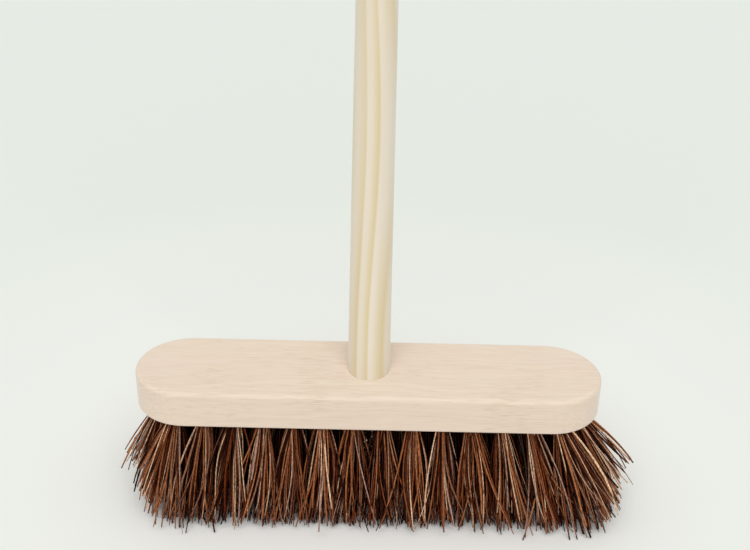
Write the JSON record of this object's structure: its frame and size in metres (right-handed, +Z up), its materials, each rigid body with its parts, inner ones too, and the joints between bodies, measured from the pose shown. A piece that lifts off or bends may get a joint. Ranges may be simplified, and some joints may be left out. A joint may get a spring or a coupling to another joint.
{
  "type": "stiff-bristle sweeping broom",
  "caption": "Stiff-bristle sweeping broom: round-ended wooden head with splayed brown plant-fibre tufts and a round wooden handle set in a slanted socket.",
  "frame": {"origin": "centre of the plane that the bristle tips stand on, under the middle of the stock", "axes": "+X along the stock, +Y to the rear, the way the handle leans, +Z up from the floor"},
  "size_m": [0.346, 0.5109, 1.2105],
  "materials": {
    "stock_wood": "pale beech, planed and sanded, unvarnished",
    "handle_wood": "pale softwood, turned and sanded, unvarnished",
    "bassine_fibre": "stiff dyed plant fibre, matt to slightly glossy",
    "staple_wire": "drawn steel wire",
    "screw_steel": "zinc-plated steel"
  },
  "bodies": {
    "root": {"stock": "stock_wood", "handle": "handle_wood", "handle_screw": "screw_steel", "staples": "staple_wire", "tuft_front_01": "bassine_fibre", "tuft_front_02": "bassine_fibre", "tuft_front_03": "bassine_fibre", "tuft_front_04": "bassine_fibre", "tuft_front_05": "bassine_fibre", "tuft_front_06": "bassine_fibre", "tuft_front_07": "bassine_fibre", "tuft_front_08": "bassine_fibre", "tuft_front_09": "bassine_fibre", "tuft_front_10": "bassine_fibre", "tuft_front_11": "bassine_fibre", "tuft_front_12": "bassine_fibre", "tuft_front_13": "bassine_fibre", "tuft_front_14": "bassine_fibre", "tuft_mid_front_01": "bassine_fibre", "tuft_mid_front_02": "bassine_fibre", "tuft_mid_front_03": "bassine_fibre", "tuft_mid_front_04": "bassine_fibre", "tuft_mid_front_05": "bassine_fibre", "tuft_mid_front_06": "bassine_fibre", "tuft_mid_front_07": "bassine_fibre", "tuft_mid_front_08": "bassine_fibre", "tuft_mid_front_09": "bassine_fibre", "tuft_mid_front_10": "bassine_fibre", "tuft_mid_front_11": "bassine_fibre", "tuft_mid_front_12": "bassine_fibre", "tuft_mid_front_13": "bassine_fibre", "tuft_mid_front_14": "bassine_fibre", "tuft_mid_back_01": "bassine_fibre", "tuft_mid_back_02": "bassine_fibre", "tuft_mid_back_03": "bassine_fibre", "tuft_mid_back_04": "bassine_fibre", "tuft_mid_back_05": "bassine_fibre", "tuft_mid_back_06": "bassine_fibre", "tuft_mid_back_07": "bassine_fibre", "tuft_mid_back_08": "bassine_fibre", "tuft_mid_back_09": "bassine_fibre", "tuft_mid_back_10": "bassine_fibre", "tuft_mid_back_11": "bassine_fibre", "tuft_mid_back_12": "bassine_fibre", "tuft_mid_back_13": "bassine_fibre", "tuft_mid_back_14": "bassine_fibre", "tuft_back_01": "bassine_fibre", "tuft_back_02": "bassine_fibre", "tuft_back_03": "bassine_fibre", "tuft_back_04": "bassine_fibre", "tuft_back_05": "bassine_fibre", "tuft_back_06": "bassine_fibre", "tuft_back_07": "bassine_fibre", "tuft_back_08": "bassine_fibre", "tuft_back_09": "bassine_fibre", "tuft_back_10": "bassine_fibre", "tuft_back_11": "bassine_fibre", "tuft_back_12": "bassine_fibre", "tuft_back_13": "bassine_fibre", "tuft_back_14": "bassine_fibre"}
  },
  "joints": []
}
